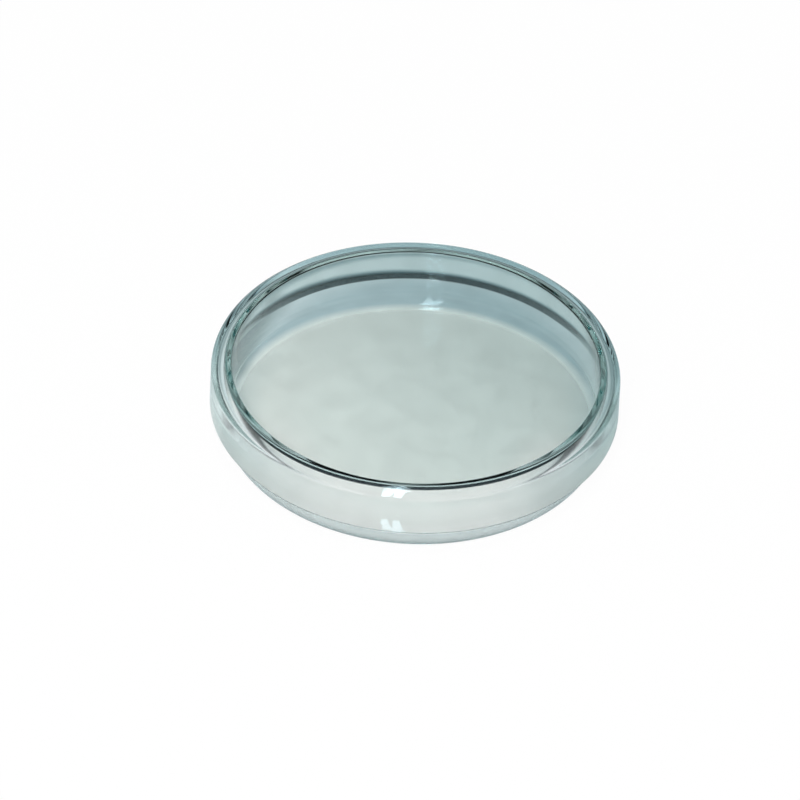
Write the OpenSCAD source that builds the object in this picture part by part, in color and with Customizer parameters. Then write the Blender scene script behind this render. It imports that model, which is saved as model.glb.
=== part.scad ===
// Covered glass dish: a shallow round dish under a flat lid whose skirt hangs down outside the dish's wall.
// Millimetres, +Z up, origin at the centre of the dish's underside.

/* [Whole dish] */
// Height from the table to the lid's top face
total_height = 20.6; // [18:0.2:30]
// Diameter across the outside of the lid's skirt
lid_diameter = 100; // [60:1:150]

/* [Lid] */
// Thickness of the lid's flat top
lid_top_thickness = 1.3; // [1:0.1:2.5]
// Thickness of the lid's skirt above its lip
lid_skirt_thickness = 2.1; // [1.6:0.1:2.6]
// Depth of the skirt, from the lid's top face to the end of its lip
lid_skirt_depth = 12.6; // [9:0.2:14]
// Radius of the lid's rounded outer edge
lid_edge_radius = 3; // [1:0.1:3.2]
// Radius of the curve by which the skirt's inside thins down towards the lip
lid_lip_curve = 12; // [6:0.5:14]
// Radius of the rounded end of the lip
lid_lip_radius = 0.3; // [0.2:0.05:0.6]

/* [Dish] */
// Thickness of the dish's wall
dish_wall_thickness = 2; // [1.5:0.1:2.6]
// Radius of the rounded outer edge of the dish's rim
dish_rim_outer_edge = 1; // [0.4:0.1:1]
// Radius of the rounded inner edge of the dish's rim
dish_rim_inner_edge = 0.4; // [0.2:0.1:0.4]
// Thickness of the dish's floor
dish_floor_thickness = 3.6; // [2:0.1:5]
// Radius of the rounded heel under the dish's wall
dish_heel_radius = 4.5; // [2:0.1:6]
// Radius of the hollow curve between the floor and the wall
dish_floor_fillet = 2.5; // [1.5:0.1:5]

/* [Fit] */
// Gap all round between the dish's wall and the lid's skirt
side_gap = 0.9; // [0.3:0.1:1.5]
// Gap between the dish's rim and the lid's underside
seat_gap = 0.05; // [0.05:0.05:0.3]

/* [Hidden] */
// Segments of a round in the preview
$fn = 180;
// Outer and inner radius of the lid's skirt
lid_outer_radius = lid_diameter / 2;
lid_inner_radius = lid_outer_radius - lid_skirt_thickness;
// Underside of the lid's top
lid_underside_z = total_height - lid_top_thickness;
// Outer and inner radius of the dish's wall
dish_outer_radius = lid_inner_radius - side_gap;
dish_inner_radius = dish_outer_radius - dish_wall_thickness;
// Level of the dish's flat rim, which carries the lid
dish_rim_z = lid_underside_z - seat_gap;
// Radius of the hollow curve under the lid's edge, which follows the rounded outer edge of the rim
lid_hollow_radius = side_gap + dish_rim_outer_edge;
// Lowest level of the lip, and the centre of its rounded end
lip_bottom_z = total_height - lid_skirt_depth;
lip_end_x = lid_outer_radius - lid_lip_radius;
lip_end_z = lip_bottom_z + lid_lip_radius;
// Centre of the curve that thins the skirt: it leaves the inside wall and meets the rounded end without a corner
lip_curve_x = lid_inner_radius + lid_lip_curve;
lip_curve_run = lip_curve_x - lip_end_x;
lip_curve_rise = sqrt(pow(lid_lip_curve - lid_lip_radius, 2) - pow(lip_curve_run, 2));
lip_curve_z = lip_end_z + lip_curve_rise;
// Direction from the centre of that curve to the centre of the rounded end
lip_meeting_angle = atan2(-lip_curve_rise, -lip_curve_run);

// Half section from the axis out to a radius and down to a level, with the upper outer corner rounded
module rounded_above(radius, bottom, top, corner) {
    translate([0, bottom])
        square([radius - corner, top - bottom]);
    translate([0, bottom])
        square([radius, top - corner - bottom]);
    translate([radius - corner, top - corner])
        intersection() {
            circle(r = corner);
            square([corner, corner]);
        }
}

// Half section from the axis out to a radius and up to a level, with the lower outer corner rounded
module rounded_below(radius, bottom, top, corner) {
    translate([0, bottom + top])
        mirror([0, 1])
            rounded_above(radius, bottom, top, corner);
}

// Section of the space inside the skirt's thinned lower end
module skirt_mouth() {
    difference() {
        translate([0, lip_bottom_z])
            square([lid_outer_radius, lip_curve_z - lip_bottom_z]);
        translate([lip_curve_x, lip_curve_z])
            circle(r = lid_lip_curve);
    }
}

// Section of the corner that is rounded off at the end of the lip
module lip_corner() {
    difference() {
        intersection() {
            translate([lip_end_x - lid_lip_radius, lip_bottom_z])
                square([2 * lid_lip_radius, lid_lip_radius]);
            translate([lip_curve_x, lip_curve_z])
                rotate(lip_meeting_angle)
                    square(2 * lid_lip_curve);
        }
        translate([lip_end_x, lip_end_z])
            circle(r = lid_lip_radius);
    }
}

// Half section of the lid: flat top, rounded edge and hanging skirt that thins down to a rounded lip
module lid_section() {
    difference() {
        rounded_above(lid_outer_radius, lip_bottom_z, total_height, lid_edge_radius);
        rounded_above(lid_inner_radius, lip_bottom_z, lid_underside_z, lid_hollow_radius);
        skirt_mouth();
        lip_corner();
    }
}

// Section of the corner that is rounded off along the inner edge of the dish's rim
module rim_inner_corner() {
    difference() {
        translate([dish_inner_radius, dish_rim_z - dish_rim_inner_edge])
            square(dish_rim_inner_edge);
        translate([dish_inner_radius + dish_rim_inner_edge, dish_rim_z - dish_rim_inner_edge])
            circle(r = dish_rim_inner_edge);
    }
}

// Half section of the dish: thick floor, rounded heel and straight wall with a flat rim rounded along both edges
module dish_section() {
    difference() {
        intersection() {
            rounded_below(dish_outer_radius, 0, dish_rim_z, dish_heel_radius);
            rounded_above(dish_outer_radius, 0, dish_rim_z, dish_rim_outer_edge);
        }
        rounded_below(dish_inner_radius, dish_floor_thickness, dish_rim_z, dish_floor_fillet);
        rim_inner_corner();
    }
}

// The dish that holds the contents
module dish() {
    color([0.80, 0.90, 0.88, 0.45])
        rotate_extrude()
            dish_section();
}

// The loose lid that lifts straight off
module lid() {
    color([0.84, 0.92, 0.91, 0.45])
        rotate_extrude()
            lid_section();
}

dish();
lid();
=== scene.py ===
import math

import bpy
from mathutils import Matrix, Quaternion, Vector


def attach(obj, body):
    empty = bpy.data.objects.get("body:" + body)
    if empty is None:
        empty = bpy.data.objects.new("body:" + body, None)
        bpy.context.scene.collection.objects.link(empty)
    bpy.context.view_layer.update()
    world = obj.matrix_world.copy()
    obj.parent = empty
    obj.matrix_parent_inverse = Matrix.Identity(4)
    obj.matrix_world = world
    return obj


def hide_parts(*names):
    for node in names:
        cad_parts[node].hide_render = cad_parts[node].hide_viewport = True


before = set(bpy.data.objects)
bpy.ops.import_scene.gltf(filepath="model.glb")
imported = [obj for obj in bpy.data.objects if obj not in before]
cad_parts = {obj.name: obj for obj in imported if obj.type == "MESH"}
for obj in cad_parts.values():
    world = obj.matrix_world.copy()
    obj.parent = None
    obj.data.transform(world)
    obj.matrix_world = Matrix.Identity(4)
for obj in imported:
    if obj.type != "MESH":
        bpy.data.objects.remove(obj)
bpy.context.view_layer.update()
scene = bpy.context.scene

# Sizes of the two glass pieces, in metres
MM = 0.001
TOTAL_HEIGHT = 20.6 * MM
LID_RADIUS = 50 * MM
LID_TOP = 1.3 * MM
LID_SKIRT = 2.1 * MM
LID_DEPTH = 12.6 * MM
LID_EDGE = 3 * MM
LIP_CURVE = 12 * MM
LIP_END = 0.3 * MM
DISH_WALL = 2 * MM
DISH_FLOOR = 3.6 * MM
DISH_HEEL = 4.5 * MM
DISH_FILLET = 2.5 * MM
RIM_OUTER_EDGE = 1 * MM
RIM_INNER_EDGE = 0.4 * MM
SIDE_GAP = 0.9 * MM
SEAT_GAP = 0.05 * MM
LID_INSIDE = LID_RADIUS - LID_SKIRT
LID_HOLLOW = SIDE_GAP + RIM_OUTER_EDGE
DISH_RADIUS = LID_INSIDE - SIDE_GAP
DISH_RIM = TOTAL_HEIGHT - LID_TOP - SEAT_GAP

# The sizes that each turning takes, in the order of its inputs
DISH_SIZES = {
    "Radius": DISH_RADIUS,
    "Rim height": DISH_RIM,
    "Wall": DISH_WALL,
    "Floor": DISH_FLOOR,
    "Heel": DISH_HEEL,
    "Fillet": DISH_FILLET,
    "Rim outer edge": RIM_OUTER_EDGE,
    "Rim inner edge": RIM_INNER_EDGE,
}
LID_SIZES = {
    "Radius": LID_RADIUS,
    "Height": TOTAL_HEIGHT,
    "Top": LID_TOP,
    "Skirt": LID_SKIRT,
    "Depth": LID_DEPTH,
    "Edge": LID_EDGE,
    "Hollow": LID_HOLLOW,
    "Lip curve": LIP_CURVE,
    "Lip end": LIP_END,
}

# Steps of a turning round its axis, and along each rounded corner of the two sections
SEGMENTS = 256
FILLET_STEPS = 24
RIM_INNER_STEPS = 16
RIM_OUTER_STEPS = 24
HEEL_STEPS = 28
LID_EDGE_STEPS = 24
LIP_END_STEPS = 16
LIP_CURVE_STEPS = 24
LID_HOLLOW_STEPS = 20
# A quarter turn and a half turn, in radians
QUARTER = math.pi / 2
HALF_TURN = math.pi
# Points of a turning that are closer than this are one point
WELD = 1e-7

# Clear glass: the colours of its surface, its mirror reflections and its body
GLASS_TINT = (0.985, 0.985, 0.975, 1.0)
GLASS_MIRROR = (0.46, 0.62, 0.70, 1.0)
GLASS_BODY = (0.42, 0.82, 0.82, 1.0)
GLASS_DENSITY = 28.0
GLASS_IOR = 1.5
# Slow ripples left by the mould
RIPPLE_SCALE = 55.0
RIPPLE_DETAIL = 1.0
RIPPLE_HEIGHT = 0.4 * MM
RIPPLE_STRENGTH = 0.05
# Wiping marks: how fine they are, the part of the noise that shows and their roughness
SMUDGE_SCALE = 160.0
SMUDGE_DETAIL = 4.0
SMUDGE_RANGE = (0.5, 0.8)
SMUDGE_ROUGHNESS = 0.02
# Height above the table over which the scuffed foot turns from matt to clear
FOOT_RANGE = (0.1 * MM, 0.4 * MM)

WHITE = (1.0, 1.0, 1.0)
BLACK = (0.0, 0.0, 0.0)

# Brightness of the room by the sine of the height above the horizon
ROOM_HORIZON = (0.25, 0.31, 0.33)
ROOM_BY_HEIGHT = [(0.0, ROOM_HORIZON), (0.3, ROOM_HORIZON), (0.5, (0.5, 0.53, 0.55)), (0.8, WHITE)]
# Share of that brightness straight behind the object, and the part of the direction's Y over which it falls
ROOM_BEHIND = 0.06
ROOM_FALL = (-0.3, 0.7)

# The table top, just below the underside of the dish
TABLE_REACH = 1.5
TABLE_CORNERS = 128
TABLE_LEVEL = -0.02 * MM
TABLE_MATT = (0.8, 0.8, 0.8, 1.0)
# Share of plain white in what the camera sees of it; the rest takes the shadow
TABLE_WHITE = 0.97
# Slight clouds on it: how fine they are, the part of the noise that shows and their brightness
CLOUD_SCALE = 130.0
CLOUD_DETAIL = 2.0
CLOUD_RANGE = (0.3, 0.7)
CLOUD_BRIGHTNESS = (0.94, 1.06)

# Painted light and shade on the table, as the glass shows it. All distances and places are in metres.
# Painted light and shade under the dish: its colour on the side towards the window and on the side away
# from it
TABLE_LIT = (0.905, 0.965, 0.955, 1.0)
TABLE_SHADED = (0.565, 0.67, 0.672, 1.0)
FROM_WINDOW = (0.79, 0.61, 0.0)
WINDOW_FALL = (-0.045, 0.045)
# Painted light in front: its colour, by its share, the distance from the middle where it starts and the Y
# where it ends
TABLE_LIT_IN_FRONT = (1.02, 0.975, 0.995, 1.0)
FRONT_SHARE = 0.75
FRONT_START = (0.026, 0.034)
FRONT_END = (-0.03, 0.0)
# Painted light and shade, as shares of those colours by the distance from the middle, in front of the dish
# and behind it; the dark bands are painted shadow round the dish
FRONT_SHADE_RINGS = [
    (0.0, (1.02, 1.02, 1.02)),
    (0.020, (1.05, 1.05, 1.05)),
    (0.030, (1.03, 1.02, 1.02)),
    (0.037, (1.03, 1.02, 1.02)),
    (0.043, (0.78, 0.83, 0.85)),
    (0.047, (0.74, 0.79, 0.82)),
    (0.052, (0.90, 0.93, 0.94)),
    (0.067, (0.84, 0.87, 0.88)),
    (0.09, (0.66, 0.69, 0.70)),
    (0.12, (0.60, 0.64, 0.66)),
    (0.3, (0.80, 0.85, 0.87)),
]
BACK_SHADE_RINGS = [
    (0.0, (0.58, 0.66, 0.72)),
    (0.046, (0.57, 0.675, 0.74)),
    (0.052, (0.81, 0.88, 0.94)),
    (0.0573, (0.87, 0.93, 0.99)),
    (0.0581, (0.65, 0.76, 0.825)),
    (0.0590, (0.26, 0.35, 0.39)),
    (0.0602, (0.05, 0.09, 0.11)),
    (0.0617, BLACK),
    (0.09, BLACK),
    (0.12, (0.72, 0.80, 0.83)),
    (0.3, (0.85, 0.92, 0.95)),
]
# The Y over which the front rings give way to the back rings
RINGS_CHANGE = (0.002, 0.028)
# The back rings start under the wall, lie round a point behind the middle and are a little narrower across
RINGS_START = (0.0450, 0.0482)
RINGS_MIDDLE = (0.001, 0.011)
RINGS_NARROWED = 0.92
# Least brightness of the painted shade of the back rings far out to the left and right, and where that
# starts
SIDE_TONE = (0.42, 0.50, 0.52, 1.0)
SIDE_START = (0.047, 0.054)
# Soft shade in front, by the distance from a point behind the middle
HEEL_SHADE = [
    (0.0, WHITE),
    (0.0455, WHITE),
    (0.0485, (0.76, 0.79, 0.79)),
    (0.0525, (0.82, 0.84, 0.84)),
    (0.058, WHITE),
    (0.3, WHITE),
]
HEEL_SHADE_MIDDLE = (0.0015, 0.023, 0.0)
# How far out to the left and right that shade starts, and the Y where it ends
HEEL_SHADE_START = (0.012, 0.031)
HEEL_SHADE_END = (0.008, 0.014)
# Dark arc behind and to the left, by its share of the way between two distances from a point to the right
LEFT_ARC = [
    (0.0, WHITE),
    (0.067, WHITE),
    (0.257, (0.74, 0.77, 0.77)),
    (0.448, (0.46, 0.50, 0.50)),
    (0.638, (0.28, 0.32, 0.33)),
    (0.781, (0.28, 0.32, 0.33)),
    (0.905, WHITE),
    (1.0, WHITE),
]
LEFT_ARC_MIDDLE = (0.0416, 0.0079, 0.0)
LEFT_ARC_EDGES = (0.0820, 0.0925)
# The Y where that arc starts and where it ends
LEFT_ARC_START = (0.010, 0.018)
LEFT_ARC_END = (0.046, 0.053)

# Two window panes in front, by their turn to the left; their rise, distance, size and power
WINDOW_PANES = {"left_pane": math.radians(12.0), "right_pane": math.radians(6.0)}
PANE_RISE = math.radians(42.0)
PANE_AWAY = 1.2
PANE_SIZE = (0.09, 1.7)
PANE_POWER = 9.0

# The photograph's view: rise above the table, lean to one side and distance of the camera
VIEW_RISE = math.radians(38.7)
VIEW_LEAN = math.radians(2.85)
VIEW_AWAY = 4.0
# Width of the photograph, and in it the scale and the middle of the lid's top
PHOTO_PIXELS = 800.0
PIXELS_PER_METRE = 4100.0
LID_MIDDLE_IN_PHOTO = (416.2, 364.4)
SENSOR_WIDTH = 36.0


# Nodes

# Places of a Mix node's two colours among its inputs, and of its colour among its outputs
MIX_FIRST = 6
MIX_SECOND = 7
MIX_RESULT = 2


def put(tree, value, socket):
    """Links an output to a socket, or sets a constant on it."""
    if hasattr(value, "is_output"):
        tree.links.new(value, socket)
    else:
        socket.default_value = value


def calc(tree, operation, *values):
    """The result of a Math node."""
    node = tree.nodes.new("ShaderNodeMath")
    node.operation = operation
    for value, socket in zip(values, node.inputs):
        put(tree, value, socket)
    return node.outputs[0]


def vector_calc(tree, operation, *values):
    """A Vector Math node, which has its result as a value or as a vector."""
    node = tree.nodes.new("ShaderNodeVectorMath")
    node.operation = operation
    for value, socket in zip(values, node.inputs):
        put(tree, value, socket)
    return node


def split(tree, vector):
    """The outputs of a vector's X, Y and Z."""
    node = tree.nodes.new("ShaderNodeSeparateXYZ")
    tree.links.new(vector, node.inputs[0])
    return node.outputs


def fade(tree, value, span, low=0.0, high=1.0):
    """Goes from low to high while the value goes over the span, and stays level outside it."""
    node = tree.nodes.new("ShaderNodeMapRange")
    tree.links.new(value, node.inputs["Value"])
    node.inputs["From Min"].default_value, node.inputs["From Max"].default_value = span
    put(tree, low, node.inputs["To Min"])
    put(tree, high, node.inputs["To Max"])
    return node.outputs["Result"]


def noise(tree, place, scale, detail):
    """Cloudy noise over the place given."""
    node = tree.nodes.new("ShaderNodeTexNoise")
    tree.links.new(place, node.inputs["Vector"])
    node.inputs["Scale"].default_value = scale
    node.inputs["Detail"].default_value = detail
    return node.outputs["Fac"]


def ramp(tree, value, stops):
    """A colour ramp with the stops given as position and colour."""
    node = tree.nodes.new("ShaderNodeValToRGB")
    tree.links.new(value, node.inputs["Fac"])
    elements = node.color_ramp.elements
    elements[0].position, elements[0].color = stops[0][0], (*stops[0][1], 1.0)
    elements[1].position, elements[1].color = stops[-1][0], (*stops[-1][1], 1.0)
    for position, colour in stops[1:-1]:
        elements.new(position).color = (*colour, 1.0)
    return node.outputs["Color"]


def rings(tree, distance, stops):
    """Colours by a distance in metres, as far as the last stop."""
    reach = stops[-1][0]
    share = calc(tree, "DIVIDE", distance, reach)
    return ramp(tree, share, [(position / reach, colour) for position, colour in stops])


def mix_colours(tree, share, first, second, blend="MIX"):
    """Blends the second colour with the first by a share."""
    node = tree.nodes.new("ShaderNodeMix")
    node.data_type = "RGBA"
    node.blend_type = blend
    put(tree, share, node.inputs["Factor"])
    put(tree, first, node.inputs[MIX_FIRST])
    put(tree, second, node.inputs[MIX_SECOND])
    return node.outputs[MIX_RESULT]


def mix_shaders(tree, share, first, second):
    """Goes from the first shader to the second by a share."""
    node = tree.nodes.new("ShaderNodeMixShader")
    put(tree, share, node.inputs[0])
    tree.links.new(first, node.inputs[1])
    tree.links.new(second, node.inputs[2])
    return node.outputs[0]


def fresh_tree(owner):
    """The emptied node tree of a material or world."""
    owner.use_nodes = True
    owner.node_tree.nodes.clear()
    return owner.node_tree


# Glass


def clear_glass(name, scuffed_foot=False):
    """Blue-green glass with mould ripples and a trace of wiping marks; a scuffed foot is matt."""
    material = bpy.data.materials.new(name)
    tree = fresh_tree(material)
    place = tree.nodes.new("ShaderNodeTexCoord").outputs["Object"]
    glass = tree.nodes.new("ShaderNodeBsdfPrincipled")
    glass.inputs["Base Color"].default_value = GLASS_TINT
    glass.inputs["Transmission Weight"].default_value = 1.0
    glass.inputs["IOR"].default_value = GLASS_IOR
    glass.inputs["Specular Tint"].default_value = GLASS_MIRROR
    ripples = tree.nodes.new("ShaderNodeBump")
    ripples.inputs["Strength"].default_value = RIPPLE_STRENGTH
    ripples.inputs["Distance"].default_value = RIPPLE_HEIGHT
    tree.links.new(noise(tree, place, RIPPLE_SCALE, RIPPLE_DETAIL), ripples.inputs["Height"])
    tree.links.new(ripples.outputs["Normal"], glass.inputs["Normal"])
    marks = noise(tree, place, SMUDGE_SCALE, SMUDGE_DETAIL)
    rough = fade(tree, marks, SMUDGE_RANGE, 0.0, SMUDGE_ROUGHNESS)
    if scuffed_foot:
        foot = fade(tree, split(tree, place)["Z"], FOOT_RANGE, 1.0, 0.0)
        rough = calc(tree, "MAXIMUM", rough, foot)
    tree.links.new(rough, glass.inputs["Roughness"])
    body = tree.nodes.new("ShaderNodeVolumeAbsorption")
    body.inputs["Color"].default_value = GLASS_BODY
    body.inputs["Density"].default_value = GLASS_DENSITY
    out = tree.nodes.new("ShaderNodeOutputMaterial")
    tree.links.new(glass.outputs["BSDF"], out.inputs["Surface"])
    tree.links.new(body.outputs["Volume"], out.inputs["Volume"])
    return material


# Turned pieces


class Turning:
    """A node tree that turns a section, given as rounded corners, about the Z axis."""

    def __init__(self, name, sizes):
        self.tree = bpy.data.node_groups.new(name, "GeometryNodeTree")
        sockets = self.tree.interface
        sockets.new_socket("Geometry", in_out="OUTPUT", socket_type="NodeSocketGeometry")
        for size in sizes:
            sockets.new_socket(size, in_out="INPUT", socket_type="NodeSocketFloat")
        sockets.new_socket("Segments", in_out="INPUT", socket_type="NodeSocketInt")
        sockets.new_socket("Glass", in_out="INPUT", socket_type="NodeSocketMaterial")
        inputs = self.tree.nodes.new("NodeGroupInput").outputs
        self.sizes = [inputs[size] for size in sizes]
        self.segments = inputs["Segments"]
        self.glass = inputs["Glass"]
        self.section = []

    def calc(self, operation, *values):
        return calc(self.tree, operation, *values)

    def add(self, a, b):
        return self.calc("ADD", a, b)

    def less(self, a, b):
        return self.calc("SUBTRACT", a, b)

    def points(self, count, x, z):
        """Adds a row of points to the section."""
        place = self.tree.nodes.new("ShaderNodeCombineXYZ")
        put(self.tree, x, place.inputs["X"])
        put(self.tree, z, place.inputs["Z"])
        row = self.tree.nodes.new("GeometryNodePoints")
        row.inputs["Count"].default_value = count
        self.tree.links.new(place.outputs["Vector"], row.inputs["Position"])
        self.section.append(row.outputs[0])

    def axis_point(self, z):
        """A point of the section on the axis."""
        self.points(1, 0.0, z)

    def corner(self, x, z, radius, start, sweep, steps):
        """A rounded corner about the centre x, z, from one angle through a sweep, in radians."""
        index = self.tree.nodes.new("GeometryNodeInputIndex").outputs[0]
        share = self.calc("DIVIDE", index, float(steps))
        angle = self.calc("MULTIPLY_ADD", share, sweep, start)
        along = self.calc("MULTIPLY", self.calc("COSINE", angle), radius)
        up = self.calc("MULTIPLY", self.calc("SINE", angle), radius)
        self.points(steps + 1, self.add(x, along), self.add(z, up))

    def close(self):
        """Turns the section: a grid has a row for each of its points and a column for each angle."""
        nodes, links = self.tree.nodes, self.tree.links
        join = nodes.new("GeometryNodeJoinGeometry")
        for points in reversed(self.section):
            links.new(points, join.inputs[0])
        count = nodes.new("GeometryNodeAttributeDomainSize")
        count.component = "POINTCLOUD"
        links.new(join.outputs[0], count.inputs[0])
        columns = self.add(self.segments, 1.0)
        grid = nodes.new("GeometryNodeMeshGrid")
        links.new(count.outputs["Point Count"], grid.inputs["Vertices X"])
        links.new(columns, grid.inputs["Vertices Y"])
        index = nodes.new("GeometryNodeInputIndex").outputs[0]
        # The half added keeps the row right where the division falls just short of a whole number
        row = self.calc("FLOOR", self.calc("DIVIDE", self.add(index, 0.5), columns))
        column = self.less(index, self.calc("MULTIPLY", row, columns))
        turn = self.calc("MULTIPLY", self.calc("DIVIDE", column, self.segments), math.tau)
        sample = nodes.new("GeometryNodeSampleIndex")
        sample.data_type = "FLOAT_VECTOR"
        links.new(join.outputs[0], sample.inputs["Geometry"])
        links.new(nodes.new("GeometryNodeInputPosition").outputs[0], sample.inputs["Value"])
        links.new(row, sample.inputs["Index"])
        about = nodes.new("ShaderNodeVectorRotate")
        about.rotation_type = "Z_AXIS"
        links.new(sample.outputs[0], about.inputs["Vector"])
        links.new(turn, about.inputs["Angle"])
        move = nodes.new("GeometryNodeSetPosition")
        links.new(grid.outputs["Mesh"], move.inputs["Geometry"])
        links.new(about.outputs["Vector"], move.inputs["Position"])
        weld = nodes.new("GeometryNodeMergeByDistance")
        weld.inputs["Distance"].default_value = WELD
        links.new(move.outputs[0], weld.inputs["Geometry"])
        smooth = nodes.new("GeometryNodeSetShadeSmooth")
        links.new(weld.outputs[0], smooth.inputs[0])
        solid = nodes.new("GeometryNodeRealizeInstances")
        links.new(smooth.outputs[0], solid.inputs[0])
        paint = nodes.new("GeometryNodeSetMaterial")
        links.new(solid.outputs[0], paint.inputs["Geometry"])
        links.new(self.glass, paint.inputs["Material"])
        links.new(paint.outputs[0], nodes.new("NodeGroupOutput").inputs[0])
        return self.tree


def dish_turning():
    """Section of the dish: floor, hollow curve, wall, rim with two rounded edges, heel and underside."""
    t = Turning("dish_turning", DISH_SIZES)
    radius, rim, wall, floor, heel, fillet, outer, inner = t.sizes
    inside = t.less(radius, wall)
    t.axis_point(floor)
    t.corner(t.less(inside, fillet), t.add(floor, fillet), fillet, -QUARTER, QUARTER, FILLET_STEPS)
    t.corner(t.add(inside, inner), t.less(rim, inner), inner, HALF_TURN, -QUARTER, RIM_INNER_STEPS)
    t.corner(t.less(radius, outer), t.less(rim, outer), outer, QUARTER, -QUARTER, RIM_OUTER_STEPS)
    t.corner(t.less(radius, heel), heel, heel, 0.0, -QUARTER, HEEL_STEPS)
    t.axis_point(0.0)
    return t.close()


def lid_turning():
    """Section of the lid: top, rounded edge, skirt, thinned lip, inside wall, hollow and underside."""
    t = Turning("lid_turning", LID_SIZES)
    radius, height, top, skirt, depth, edge, hollow, curve, end = t.sizes
    inside = t.less(radius, skirt)
    underside = t.less(height, top)
    end_x = t.less(radius, end)
    end_z = t.add(t.less(height, depth), end)
    curve_x = t.add(inside, curve)
    run = t.less(curve_x, end_x)
    reach = t.calc("POWER", t.less(curve, end), 2.0)
    rise = t.calc("SQRT", t.less(reach, t.calc("POWER", run, 2.0)))
    slope = t.calc("ARCTAN2", rise, run)
    meeting = t.add(slope, HALF_TURN)
    t.axis_point(height)
    t.corner(t.less(radius, edge), t.less(height, edge), edge, QUARTER, -QUARTER, LID_EDGE_STEPS)
    t.corner(end_x, end_z, end, 0.0, t.less(slope, HALF_TURN), LIP_END_STEPS)
    t.corner(curve_x, t.add(end_z, rise), curve, meeting, t.calc("MULTIPLY", slope, -1.0), LIP_CURVE_STEPS)
    t.corner(t.less(inside, hollow), t.less(underside, hollow), hollow, 0.0, QUARTER, LID_HOLLOW_STEPS)
    t.axis_point(underside)
    return t.close()


def turned_piece(name, tree, sizes, glass):
    """Makes a plain mesh of a turning with the sizes given."""
    stock = bpy.data.objects.new(name + "_stock", bpy.data.meshes.new(name + "_stock"))
    scene.collection.objects.link(stock)
    turning = stock.modifiers.new("turning", "NODES")
    turning.node_group = tree
    values = dict(sizes, Segments=SEGMENTS, Glass=glass)
    for item in tree.interface.items_tree:
        if item.in_out == "INPUT":
            turning[item.identifier] = values[item.name]
    stock.update_tag()
    depsgraph = bpy.context.evaluated_depsgraph_get()
    mesh = bpy.data.meshes.new_from_object(stock.evaluated_get(depsgraph), depsgraph=depsgraph)
    bpy.data.objects.remove(stock)
    mesh.name = name
    piece = bpy.data.objects.new(name, mesh)
    scene.collection.objects.link(piece)
    return piece


dish_glass = clear_glass("dish_glass_clear", scuffed_foot=True)
dish = turned_piece("dish_turned", dish_turning(), DISH_SIZES, dish_glass)
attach(dish, "dish")
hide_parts("dish")

lid_glass = clear_glass("lid_glass_clear")
lid = turned_piece("lid_turned", lid_turning(), LID_SIZES, lid_glass)
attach(lid, "lid")
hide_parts("lid")


# Studio


def studio_room():
    """A room dark along the horizon and behind the object, and bright overhead; white to the camera."""
    world = bpy.data.worlds.new("studio_room")
    scene.world = world
    tree = fresh_tree(world)
    direction = split(tree, tree.nodes.new("ShaderNodeTexCoord").outputs["Generated"])
    room = tree.nodes.new("ShaderNodeBackground")
    tree.links.new(ramp(tree, direction["Z"], ROOM_BY_HEIGHT), room.inputs["Color"])
    tree.links.new(fade(tree, direction["Y"], ROOM_FALL, 1.0, ROOM_BEHIND), room.inputs["Strength"])
    white = tree.nodes.new("ShaderNodeBackground")
    white.inputs["Color"].default_value = (*WHITE, 1.0)
    to_camera = tree.nodes.new("ShaderNodeLightPath").outputs["Is Camera Ray"]
    mixed = mix_shaders(tree, to_camera, room.outputs[0], white.outputs[0])
    tree.links.new(mixed, tree.nodes.new("ShaderNodeOutputWorld").inputs["Surface"])


def table_shade_rings(tree, place, away, aside, back):
    """Rings of painted light and shade on the table round the dish, one set in front and another behind."""
    front_rings = rings(tree, away, FRONT_SHADE_RINGS)
    widened = (1.0 / RINGS_NARROWED, 1.0, 0.0)
    shifted = (-RINGS_MIDDLE[0] / RINGS_NARROWED, -RINGS_MIDDLE[1], 0.0)
    oval = vector_calc(tree, "MULTIPLY_ADD", place, widened, shifted).outputs["Vector"]
    back_rings = rings(tree, vector_calc(tree, "LENGTH", oval).outputs["Value"], BACK_SHADE_RINGS)
    back_rings = mix_colours(tree, fade(tree, away, RINGS_START), (*WHITE, 1.0), back_rings)
    back_rings = mix_colours(tree, fade(tree, aside, SIDE_START), back_rings, SIDE_TONE, "LIGHTEN")
    return mix_colours(tree, fade(tree, back, RINGS_CHANGE), front_rings, back_rings)


def painted_table_light_and_shade(tree, place):
    """Painted light and shade of the table as the glass shows them, by the place on it."""
    away = vector_calc(tree, "LENGTH", place).outputs["Value"]
    places = split(tree, place)
    aside, back = calc(tree, "ABSOLUTE", places["X"]), places["Y"]
    from_window = vector_calc(tree, "DOT_PRODUCT", place, FROM_WINDOW).outputs["Value"]
    # Painted light on the side towards the window and painted shade on the side away from it
    tones = mix_colours(tree, fade(tree, from_window, WINDOW_FALL), TABLE_LIT, TABLE_SHADED)
    # Painted light in front of the dish
    front = fade(tree, back, FRONT_END, fade(tree, away, FRONT_START, 0.0, FRONT_SHARE), 0.0)
    tones = mix_colours(tree, front, tones, TABLE_LIT_IN_FRONT)
    # Painted light and shade in rings round the dish
    tones = mix_colours(tree, 1.0, tones, table_shade_rings(tree, place, away, aside, back), "MULTIPLY")
    heel_away = vector_calc(tree, "DISTANCE", place, HEEL_SHADE_MIDDLE).outputs["Value"]
    heel = fade(tree, back, HEEL_SHADE_END, fade(tree, aside, HEEL_SHADE_START), 0.0)
    tones = mix_colours(tree, heel, tones, rings(tree, heel_away, HEEL_SHADE), "MULTIPLY")
    arc_away = vector_calc(tree, "DISTANCE", place, LEFT_ARC_MIDDLE).outputs["Value"]
    arc_colours = ramp(tree, fade(tree, arc_away, LEFT_ARC_EDGES), LEFT_ARC)
    arc = fade(tree, back, LEFT_ARC_END, fade(tree, back, LEFT_ARC_START), 0.0)
    return mix_colours(tree, arc, tones, arc_colours, "MULTIPLY")


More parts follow.
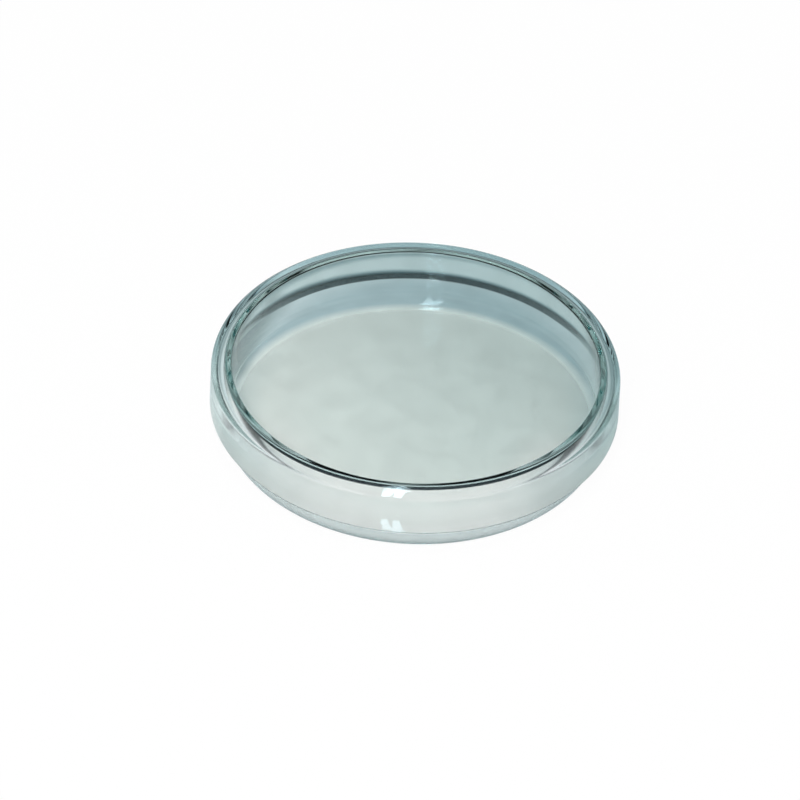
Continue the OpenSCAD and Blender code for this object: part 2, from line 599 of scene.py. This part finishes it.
def table_pale():
    """White with a soft shadow to the camera, painted light and shade in the glass, and matt to all other
    light.
    """
    material = bpy.data.materials.new("table_pale")
    tree = fresh_tree(material)
    place = tree.nodes.new("ShaderNodeTexCoord").outputs["Object"]
    path = tree.nodes.new("ShaderNodeLightPath").outputs
    matt = tree.nodes.new("ShaderNodeBsdfDiffuse")
    matt.inputs["Color"].default_value = TABLE_MATT
    seen = tree.nodes.new("ShaderNodeEmission")
    tree.links.new(painted_table_light_and_shade(tree, place), seen.inputs["Color"])
    clouds = noise(tree, place, CLOUD_SCALE, CLOUD_DETAIL)
    tree.links.new(fade(tree, clouds, CLOUD_RANGE, *CLOUD_BRIGHTNESS), seen.inputs["Strength"])
    white = tree.nodes.new("ShaderNodeEmission")
    by_glass = calc(tree, "MAXIMUM", path["Is Transmission Ray"], path["Is Glossy Ray"])
    to_glass = mix_shaders(tree, by_glass, matt.outputs[0], seen.outputs[0])
    to_camera = mix_shaders(tree, TABLE_WHITE, matt.outputs[0], white.outputs[0])
    mixed = mix_shaders(tree, path["Is Camera Ray"], to_glass, to_camera)
    tree.links.new(mixed, tree.nodes.new("ShaderNodeOutputMaterial").inputs["Surface"])
    return material


def studio_table():
    """A round table top under the dish."""
    turns = [math.tau * i / TABLE_CORNERS for i in range(TABLE_CORNERS)]
    edge = [(TABLE_REACH * math.cos(turn), TABLE_REACH * math.sin(turn), TABLE_LEVEL) for turn in turns]
    mesh = bpy.data.meshes.new("table_top")
    mesh.from_pydata(edge, [], [tuple(range(TABLE_CORNERS))])
    mesh.update()
    mesh.materials.append(table_pale())
    table = bpy.data.objects.new("table_top", mesh)
    scene.collection.objects.link(table)


def window_pane(name, turn):
    """A tall lamp in front of the dish; the camera sees it only in the glass."""
    level = PANE_AWAY * math.cos(PANE_RISE)
    place = (-level * math.sin(turn), -level * math.cos(turn), PANE_AWAY * math.sin(PANE_RISE))
    data = bpy.data.lights.new(name, "AREA")
    data.shape = "RECTANGLE"
    data.size, data.size_y = PANE_SIZE
    data.energy = PANE_POWER
    lamp = bpy.data.objects.new(name, data)
    lamp.location = place
    lamp.rotation_euler = (-Vector(place)).to_track_quat("-Z", "Y").to_euler()
    lamp.visible_camera = False
    scene.collection.objects.link(lamp)


def photograph_camera():
    """The photograph's view, from far off and leaning a little to one side."""
    back = Vector((0.0, -math.cos(VIEW_RISE), math.sin(VIEW_RISE)))
    turn = (-back).to_track_quat("-Z", "Y") @ Quaternion((0.0, 0.0, 1.0), VIEW_LEAN)
    data = bpy.data.cameras.new("photograph_camera")
    data.sensor_width = SENSOR_WIDTH
    data.lens = SENSOR_WIDTH * VIEW_AWAY * PIXELS_PER_METRE / PHOTO_PIXELS
    camera = bpy.data.objects.new("photograph_camera", data)
    camera.rotation_mode = "QUATERNION"
    camera.rotation_quaternion = turn
    across, down = ((PHOTO_PIXELS / 2 - pixel) / PIXELS_PER_METRE for pixel in LID_MIDDLE_IN_PHOTO)
    lid_middle = Vector((0.0, 0.0, TOTAL_HEIGHT))
    camera.location = lid_middle + back * VIEW_AWAY + turn.to_matrix() @ Vector((across, -down, 0.0))
    scene.collection.objects.link(camera)
    scene.camera = camera


studio_room()
studio_table()
for pane, turn in WINDOW_PANES.items():
    window_pane(pane, turn)
photograph_camera()
scene.view_settings.view_transform = "Standard"
